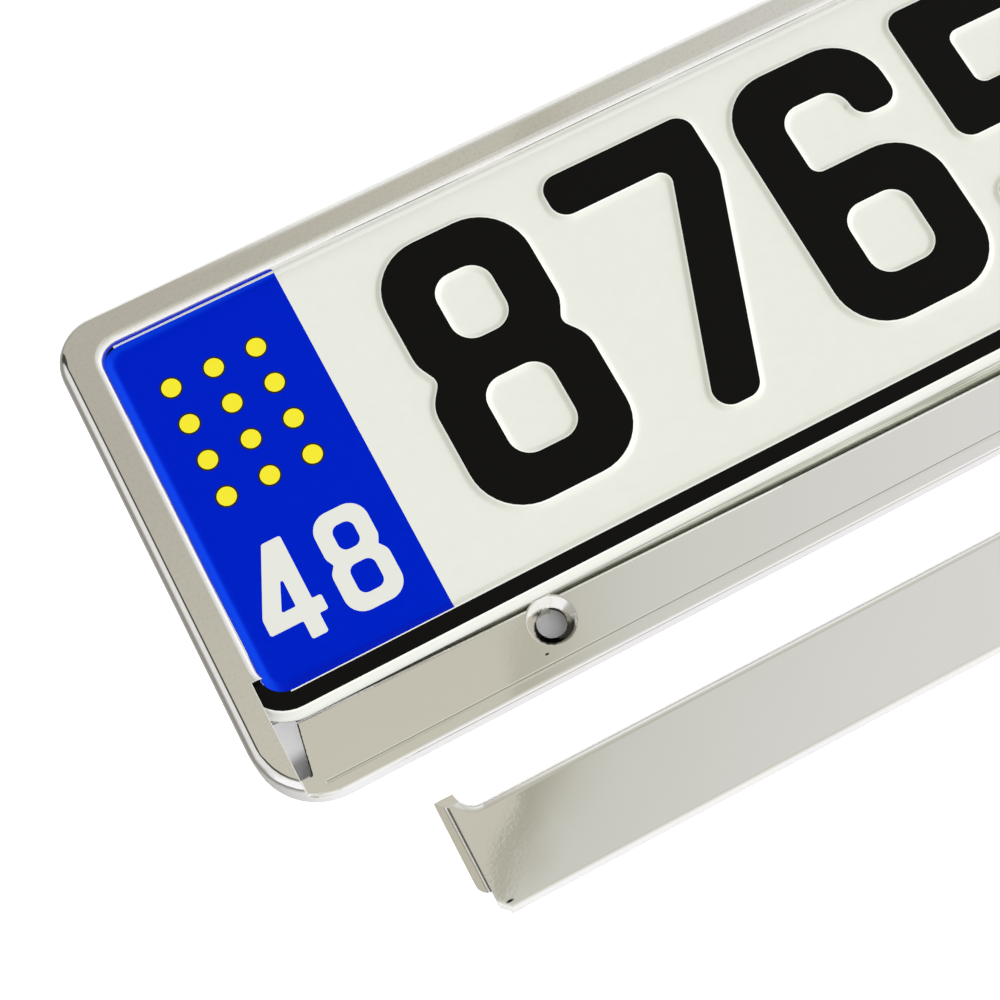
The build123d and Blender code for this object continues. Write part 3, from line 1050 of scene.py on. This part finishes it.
def mirrored_surround(tree, across, along, height):
    """What the plating mirrors: the ceiling, a dark gap beside it and pale walls."""
    colour = ceiling_colour(tree, across, along)
    back_wall = math_node(
        tree, "MULTIPLY", step_node(tree, along, 0.45, 0.6), step_node(tree, across, 0.04, 0.14)
    )
    pale_back = mix_colour(tree, step_node(tree, along, 0.7, 0.9), (0.60, 0.60, 0.55), (0.85, 0.85, 0.83))
    colour = mix_colour(tree, back_wall, colour, pale_back)
    right_wall = math_node(
        tree, "MULTIPLY", step_node(tree, across, 0.3, 0.7), step_node(tree, along, 0.75, 0.4)
    )
    colour = mix_colour(tree, right_wall, colour, (0.80, 0.81, 0.81))
    colour = mix_colour(tree, step_node(tree, across, 0.7, 0.9), colour, (1.05, 1.05, 1.05))
    front_wall = math_node(tree, "MULTIPLY", math_node(tree, "ADD", along, 0.12), -1.1, True)
    colour = mix_colour(tree, front_wall, colour, (1.0, 1.0, 1.0))
    low = math_node(
        tree, "MULTIPLY", step_node(tree, height, 0.3, 0.0), step_node(tree, along, -0.3, -0.7)
    )
    colour = mix_colour(tree, low, colour, (1.05, 1.05, 1.06))
    drawn_back = math_node(tree, "MAXIMUM", math_node(tree, "SUBTRACT", along, 0.38), 0.0)
    leftward = math_node(tree, "ADD", across, drawn_back)
    dark_gap = math_node(
        tree, "MULTIPLY", step_node(tree, leftward, -0.16, -0.21), step_node(tree, along, -0.3, 0.05)
    )
    colour = mix_colour(tree, dark_gap, colour, (0.06, 0.058, 0.05))
    left_wall = mix_colour(tree, step_node(tree, height, 0.5, 0.0), (0.80, 0.80, 0.79), (0.30, 0.28, 0.26))
    left_wall = mix_colour(tree, step_node(tree, along, -0.1, -0.4), left_wall, (1.0, 1.0, 1.02))
    return mix_colour(tree, step_node(tree, leftward, -0.38, -0.48), colour, left_wall)


def studio_surround():
    """Surround of the studio: what the plating mirrors, the light for the rest, and white for the camera."""
    world = bpy.data.worlds.new("Studio")
    bpy.context.scene.world = world
    world.use_nodes = True
    tree = world.node_tree
    direction = tree.nodes.new("ShaderNodeTexCoord")
    parts = tree.nodes.new("ShaderNodeSeparateXYZ")
    tree.links.new(direction.outputs["Generated"], parts.inputs[0])
    across, along, height = parts.outputs["X"], parts.outputs["Y"], parts.outputs["Z"]
    mirrored = mirrored_surround(tree, across, along, height)

    # Light on what isn't a mirror is brighter from the right and the front
    facing = math_node(tree, "MULTIPLY", across, light_side.x)
    facing = math_node(tree, "ADD", facing, math_node(tree, "MULTIPLY", along, light_side.y))
    facing = math_node(tree, "ADD", facing, math_node(tree, "MULTIPLY", height, light_side.z))
    dome = mix_colour(tree, step_node(tree, facing, -0.2, 1.0), (0.35, 0.365, 0.27), (1.43, 1.42, 1.425))
    rays = tree.nodes.new("ShaderNodeLightPath")
    colour = mix_colour(tree, rays.outputs["Is Diffuse Ray"], mirrored, dome)
    colour = mix_colour(tree, rays.outputs["Is Camera Ray"], colour, (1.0, 1.0, 1.0))
    background = tree.nodes["Background"]
    tree.links.new(colour, background.inputs["Color"])


def side_light():
    """Soft light from the right and the front."""
    lamp = bpy.data.lights.new("side light", "SUN")
    lamp.energy = 0.15 * pi
    lamp.angle = radians(50)
    light = bpy.data.objects.new("side light", lamp)
    bpy.context.scene.collection.objects.link(light)
    light.rotation_euler = light_side.to_track_quat("Z", "Y").to_euler()
    light.visible_glossy = False


def photo_camera():
    """Camera in the photograph's place."""
    lens = bpy.data.cameras.new("camera")
    lens.lens = 69.05
    lens.sensor_width = 36.0
    lens.clip_start = 0.01
    camera = bpy.data.objects.new("camera", lens)
    bpy.context.scene.collection.objects.link(camera)
    right = Vector((0.88321, -0.46895, 0.00432))
    up = Vector((0.44518, 0.84126, 0.30676))
    back = Vector((-0.14749, -0.26901, 0.95178))
    turn = Matrix((right, up, back)).transposed().to_4x4()
    camera.matrix_world = Matrix.Translation(camera_place) @ turn
    bpy.context.scene.camera = camera


chrome = chrome_plating()
plated_moulding("holder_frame", "plated_frame", [
    chrome,
    thin_plating_and_shade(),
    groove_plating(),
    countersink_plating(),
    hole_wall_shade(),
    # Painted highlight on the bed's rear edge
    plain_finish("Edge highlight", (0.97, 0.97, 0.94), 0.4),
], plating_of)
plated_moulding("retaining_strip", "plated_strip", [chrome, tab_plating()], on_tab)
number_plate([
    white_film(),
    plain_finish("Black foil", (0.0045, 0.0042, 0.0035), 0.38, 0.07),
    blue_film(),
    plain_finish("White print", (0.80, 0.81, 0.77), 0.4),
    bare_aluminium(),
])
dots = dot_grid_tree()
dark_print = plain_finish("Dark print", (0.02, 0.02, 0.012), 0.4, 0.12)
band_dots("dot_outlines", dots, dot_radius, dot_print, dark_print)
yellow_print = plain_finish("Yellow print", (0.93, 0.83, 0.02), 0.4)
band_dots("yellow_dots", dots, dot_radius - dot_outline, 2 * dot_print, yellow_print)

white_floor()
studio_surround()
side_light()
photo_camera()
bpy.context.scene.view_settings.view_transform = "Standard"
